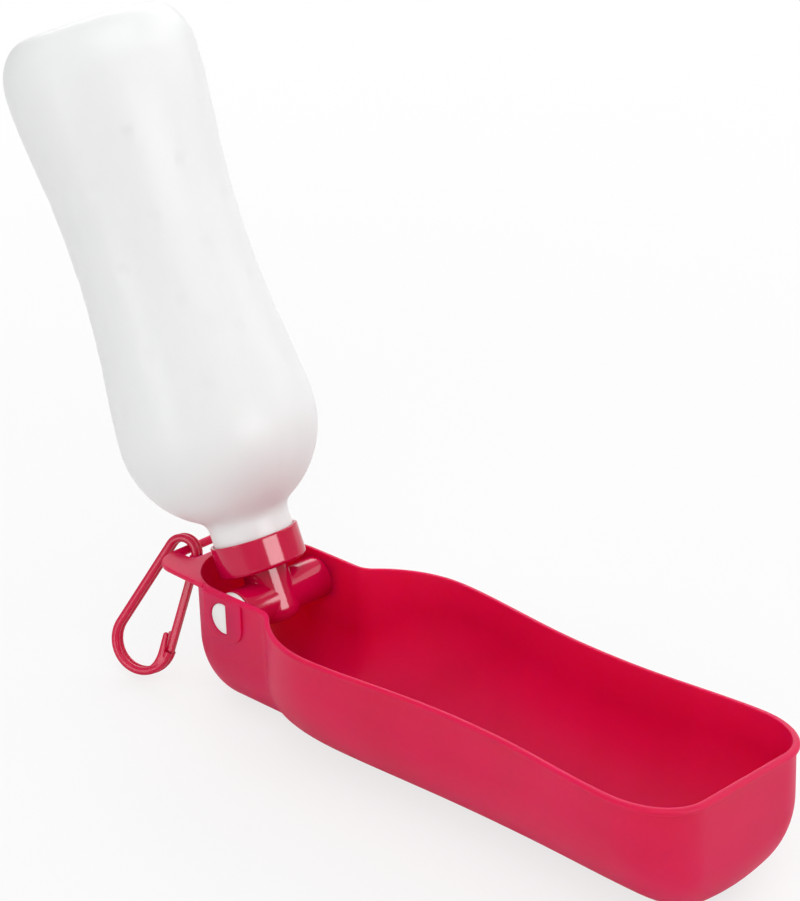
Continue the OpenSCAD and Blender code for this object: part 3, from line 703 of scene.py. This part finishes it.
def make_carabiner(material):
    line = bow_line()
    out = -normals_2d(line, closed=False)
    bow = lofted("carabiner_bow", [[(p[0] + o * n[0], p[1] + o * n[1], t) for o, t in bow_section()]
                                   for p, n in zip(line, out)])
    half, fork = HOOK_T / 2, GATE_T / 2 + FORK_GAP
    shaped(bow, "UNION", plate("nose", nose_outline(), -half, half, NOSE_EDGE),
           plate("knuckle", disc(GATE_FROM, KNUCKLE_R), -half, half, KNUCKLE_EDGE))
    shaped(bow, "DIFFERENCE", plate("room", gate_room(), -fork, fork),
           plate("ring", disc(GATE_FROM, KNUCKLE_R + 0.4), -fork, fork),
           plate("bore", disc(GATE_FROM, PIN_R + 0.02, 32), -THROUGH, THROUGH))
    moved(bow, IN_PLANE)
    return finished(bow, "carabiner", material, ("carabiner_body",), 34)


def make_gate(material):
    low, high, half = GATE_FROM + 0.9 * GATE_WAY, GATE_TO, GATE_W / 2 * LEFT
    bar = straight(low - half, high - half, 29) + straight(high + half, low + half, 29)
    face = GATE_T / 2
    gate = plate("carabiner_latch", anticlockwise(bar), -face, face, GATE_EDGE)
    shaped(gate, "UNION", plate("knuckle", disc(GATE_FROM, KNUCKLE_R), -face, face, 0.2))
    floor = face - 1.36  # of the pocket that the spring lies in
    leg = GATE_FROM - SPRING_X * LEFT
    far = leg + SPRING_L * GATE_WAY
    wide = (SPRING_X - (PIN_R + COIL_T) + 0.2 + WIRE_ROOM) * LEFT
    rebate = [tuple(p) for p in (leg + wide, leg - wide, far - wide, far + wide)]
    shaped(gate, "DIFFERENCE", plate("bore", disc(GATE_FROM, PIN_R + 0.05, 32), -THROUGH, THROUGH),
           plate("pocket", disc(GATE_FROM, KNUCKLE_R + 1), floor, THROUGH),
           plate("rebate", anticlockwise(rebate), floor, THROUGH))
    moved(gate, IN_PLANE)
    return finished(gate, "gate", material, ("carabiner_gate",), 34)


# FINISHES


class Value:
    """A socket in a node tree, which sums and products can be written with."""

    def __init__(self, nodes, socket):
        self.nodes, self.socket = nodes, socket

    def _math(self, operation, first, second):
        return self.nodes.node("ShaderNodeMath", {"operation": operation}, {0: first, 1: second})

    def __add__(self, other):
        return self._math("ADD", self, other)

    def __radd__(self, other):
        return self._math("ADD", other, self)

    def __sub__(self, other):
        return self._math("SUBTRACT", self, other)

    def __rsub__(self, other):
        return self._math("SUBTRACT", other, self)

    def __mul__(self, other):
        return self._math("MULTIPLY", self, other)

    def __rmul__(self, other):
        return self._math("MULTIPLY", other, self)


class Nodes:
    """A node tree whose nodes are made from their type, settings and sockets."""

    def __init__(self, tree):
        self.tree = tree

    def node(self, kind, settings=None, sockets=None, out=0):
        made = self.tree.nodes.new(kind)
        for key, value in (settings or {}).items():
            setattr(made, key, value)
        for key, value in (sockets or {}).items():
            self.put(made.inputs[key], value)
        return Value(self, made.outputs[out])

    def put(self, socket, value):
        if isinstance(value, Value):
            self.tree.links.new(value.socket, socket)
        else:
            socket.default_value = value

    def ramp(self, value, low, high):
        """0 up to low, 1 from high on."""
        return self.node("ShaderNodeMapRange", {"interpolation_type": "SMOOTHSTEP"},
                         {"Value": value, "From Min": low, "From Max": high})

    def blend(self, share, first, second):
        """The first colour where the share is 0, and the second where it is 1."""
        return self.node("ShaderNodeMix", {"data_type": "RGBA"}, {0: share, 6: first, 7: second},
                         out=2)


class Finish(Nodes):
    """A procedural material for one of the object's plastics, rubbers or metals, or the floor."""

    def __init__(self, name, **settings):
        self.material = bpy.data.materials.new(name)
        self.material.use_nodes = True
        super().__init__(self.material.node_tree)
        self.tree.nodes.clear()
        self.shader = self.tree.nodes.new("ShaderNodeBsdfPrincipled")
        self.output = self.tree.nodes.new("ShaderNodeOutputMaterial")
        self.tree.links.new(self.shader.outputs[0], self.output.inputs[0])
        for key, value in settings.items():
            self.shader.inputs[key.replace("_", " ")].default_value = value
        self.place = self.node("ShaderNodeTexCoord", out="Object")

    def feed(self, name, value):
        self.put(self.shader.inputs[name], value)

    def grain(self, size, detail, rough=0.5, stretch=None):
        """Soft noise whose lumps are about the given size in millimetres."""
        place = self.place
        if stretch:
            place = self.node("ShaderNodeMapping", None, {"Vector": place, "Scale": stretch})
        return self.node("ShaderNodeTexNoise", None, {"Vector": place, "Scale": 1 / MM / size,
                                                      "Detail": detail, "Roughness": rough})

    def relief(self, height, distance, under=None):
        """A bump whose full height is the distance in millimetres, over another one if given."""
        sockets = {"Height": height, "Distance": distance * MM, "Strength": 1.0}
        if under is not None:
            sockets["Normal"] = under
        return self.node("ShaderNodeBump", None, sockets)


def colour(r, g, b):
    return (r, g, b, 1.0)


def satin_red():
    """The bowl's polypropylene: a satin skin with a fine uneven grain and faint scuffs."""
    f = Finish("bowl_red", Specular_IOR_Level=0.3, Subsurface_Weight=1.0, Subsurface_Scale=0.005,
               Subsurface_Radius=(1.0, 0.03, 0.35))
    cloud = f.grain(38, 3)
    fine = f.grain(0.45, 2)
    scuff = f.ramp(f.grain(5, 6, 0.7, (1.0, 4.0, 2.0)), 0.64, 0.76)
    deep, plain = colour(0.575, 0.0005, 0.066), colour(0.615, 0.001, 0.08)
    skin = f.blend(f.ramp(cloud, 0.35, 0.65), deep, plain)
    f.feed("Base Color", f.blend(0.12 * scuff, skin, colour(0.7, 0.02, 0.1)))
    f.feed("Roughness", 0.4 + 0.06 * cloud + 0.05 * fine + 0.06 * scuff)
    f.feed("Normal", f.relief(fine, 0.012, f.relief(f.grain(14, 1), 0.05)))
    return f.material


def gloss_red():
    """The cap's glossy plastic, with the slow waves that shrinking leaves in a thick moulding."""
    f = Finish("cap_red", Specular_IOR_Level=0.45)
    cloud = f.grain(16, 2)
    speck = f.ramp(f.grain(0.8, 3), 0.66, 0.74)
    deep, plain = colour(0.56, 0.0004, 0.044), colour(0.61, 0.0008, 0.056)
    f.feed("Base Color", f.blend(f.ramp(cloud, 0.35, 0.65), deep, plain))
    f.feed("Roughness", 0.09 + 0.05 * cloud + 0.1 * speck)
    f.feed("Normal", f.relief(f.grain(9, 1), 0.05))
    return f.material


def hook_red():
    """The carabiner's half-gloss plastic, a little scuffed along the bow."""
    f = Finish("carabiner_red", Specular_IOR_Level=0.4)
    cloud = f.grain(9, 2)
    scuff = f.ramp(f.grain(1.6, 5, 0.7, (1.0, 1.0, 3.0)), 0.6, 0.74)
    skin = f.blend(cloud, colour(0.6, 0.0015, 0.048), colour(0.66, 0.002, 0.06))
    f.feed("Base Color", f.blend(0.15 * scuff, skin, colour(0.68, 0.04, 0.1)))
    f.feed("Roughness", 0.2 + 0.06 * cloud + 0.1 * scuff)
    f.feed("Normal", f.relief(f.grain(0.5, 2), 0.01, f.relief(f.grain(4, 1), 0.03)))
    return f.material


def core_white():
    """The core's smooth off-white plastic."""
    f = Finish("core_white", Specular_IOR_Level=0.45)
    cloud = f.grain(5, 2)
    f.feed("Base Color", f.blend(cloud, colour(0.9, 0.915, 0.89), colour(0.93, 0.94, 0.915)))
    f.feed("Roughness", 0.28 + 0.1 * cloud)
    f.feed("Normal", f.relief(f.grain(0.4, 2), 0.006))
    return f.material


def milky_white():
    """Blown polyethylene: milky and satin, with faint clouds of thicker and thinner wall."""
    f = Finish("bottle_milky", Specular_IOR_Level=0.4, Subsurface_Weight=0.5,
               Subsurface_Scale=0.003, Subsurface_Radius=(1.0, 1.0, 1.0))
    cloud = f.grain(30, 3)
    flow = f.grain(7, 3, 0.6, (1.0, 1.0, 0.3))
    thick = f.ramp(0.6 * cloud + 0.4 * flow, 0.35, 0.65)
    f.feed("Base Color", f.blend(thick, colour(0.92, 0.945, 0.935), colour(0.95, 0.965, 0.96)))
    f.feed("Roughness", 0.34 + 0.08 * flow)
    f.feed("Normal", f.relief(f.grain(0.6, 2), 0.01, f.relief(f.grain(11, 1), 0.08)))
    return f.material


def soft_rubber(name, dark, light, rough):
    """Matt rubber or silicone."""
    f = Finish(name, Specular_IOR_Level=0.4)
    cloud = f.grain(3, 3)
    f.feed("Base Color", f.blend(cloud, dark, light))
    f.feed("Roughness", rough + 0.12 * cloud)
    f.feed("Normal", f.relief(f.grain(0.3, 2), 0.01))
    return f.material


def drawn_steel():
    """Bright wire and pin, with the fine streaks of drawing."""
    f = Finish("pin_steel", Metallic=1.0)
    streak = f.grain(0.6, 4, 0.6, (1.0, 1.0, 6.0))
    f.feed("Base Color", f.blend(streak, colour(0.52, 0.52, 0.53), colour(0.66, 0.66, 0.67)))
    f.feed("Roughness", 0.22 + 0.16 * streak)
    f.feed("Normal", f.relief(streak, 0.004))
    return f.material


# PUTTING THE OBJECT TOGETHER

hook_finish = hook_red()
make_bottle(milky_white())
make_cap(gloss_red())
make_core(core_white())
make_bowl(satin_red())
make_carabiner(hook_finish)
make_gate(hook_finish)

steel = drawn_steel()
silicone = soft_rubber("gasket_rubber", colour(0.7, 0.7, 0.67), colour(0.78, 0.78, 0.75), 0.5)
black = soft_rubber("seal_rubber", colour(0.02, 0.02, 0.022), colour(0.04, 0.04, 0.045), 0.45)
for node, material in (("cap_gasket", silicone), ("core_seals", black),
                       ("gate_pin", steel), ("gate_spring", steel)):
    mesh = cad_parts[node].data
    mesh.materials.clear()
    mesh.materials.append(material)

# FLOOR AND LIGHT, in metres and watts

FLOOR_HALF = 5
FLOOR_GLOW, GLOW_FROM, GLOW_TO = 0.75, 0.3, 1.0
WORLD_LIGHT = 0.46


def pale_floor():
    """White paper that keeps the shadow, and glows to the camera, more so away from the object."""
    corners = [(x * FLOOR_HALF, y * FLOOR_HALF, 0) for x, y in ((-1, -1), (1, -1), (1, 1), (-1, 1))]
    floor = new_piece("floor", corners, [(0, 1, 2, 3)])
    f = Finish("floor_paper", Specular_IOR_Level=0.1, Roughness=0.9)
    f.feed("Base Color", f.blend(f.grain(900, 3), colour(0.8, 0.8, 0.8), colour(0.83, 0.83, 0.83)))
    glow = f.node("ShaderNodeEmission", None, {"Color": colour(1, 1, 1), "Strength": 1.0})
    seen = f.node("ShaderNodeLightPath", out="Is Camera Ray")
    away = f.node("ShaderNodeVectorMath", {"operation": "LENGTH"}, {0: f.place}, out="Value")
    far = f.ramp(away, GLOW_FROM, GLOW_TO)
    share = (FLOOR_GLOW + (1 - FLOOR_GLOW) * far) * seen
    paper = Value(f, f.shader.outputs[0])
    f.put(f.output.inputs[0], f.node("ShaderNodeMixShader", None, {0: share, 1: paper, 2: glow}))
    floor.data.materials.append(f.material)


def softbox(name, azimuth, height, reach, width, tall, power, aim=(-0.03, 0, 0.06)):
    """A large lamp that looks at its aim from an azimuth in degrees, a height and a reach."""
    lamp = bpy.data.lights.new(name, "AREA")
    lamp.shape = "RECTANGLE"
    lamp.size, lamp.size_y, lamp.energy = width, tall, power
    piece = bpy.data.objects.new(name, lamp)
    bpy.context.scene.collection.objects.link(piece)
    a = math.radians(azimuth)
    away = Vector((reach * math.cos(a), reach * math.sin(a), height))
    piece.location = Vector(aim) + away
    piece.rotation_euler = (-away).to_track_quat("-Z", "Y").to_euler()
    piece.visible_camera = False
    return piece


def studio_world():
    """White where the camera sees it, and a weak even light for everything else."""
    world = bpy.data.worlds.new("studio")
    bpy.context.scene.world = world
    world.use_nodes = True
    nodes = Nodes(world.node_tree)
    back = world.node_tree.nodes["Background"]
    nodes.put(back.inputs["Color"], colour(1, 1, 1))
    seen = nodes.node("ShaderNodeLightPath", out="Is Camera Ray")
    nodes.put(back.inputs["Strength"], WORLD_LIGHT + (1 - WORLD_LIGHT) * seen)


def studio_lamps():
    """Soft lamps for the light, and two that only show as reflections on the valve and hook."""
    softbox("overhead", -20, 1.5, 0.5, 1.3, 1.3, 8.5)
    softbox("back", 134, 0.78, 1.6, 2.0, 0.5, 8)
    softbox("behind", 120, 1.0, 1.6, 2.0, 1.0, 4).visible_glossy = False
    softbox("right", 66, 0.9, 1.6, 1.2, 1.2, 7)
    softbox("left", -145, 0.7, 1.6, 1.8, 1.4, 4.5).visible_glossy = False
    softbox("fill", -45, 0.9, 1.5, 1.4, 1.2, 8).visible_glossy = False
    softbox("strip", 0, 0.3, 1.2, 0.87, 0.26, 6, (-0.09, 0, 0.057)).visible_diffuse = False
    softbox("edge", -92, 0.2, 1.2, 0.26, 0.7, 3, (-0.14, -0.03, 0.03)).visible_diffuse = False


pale_floor()
studio_world()
studio_lamps()

view = bpy.context.scene.view_settings
view.view_transform = "Standard"
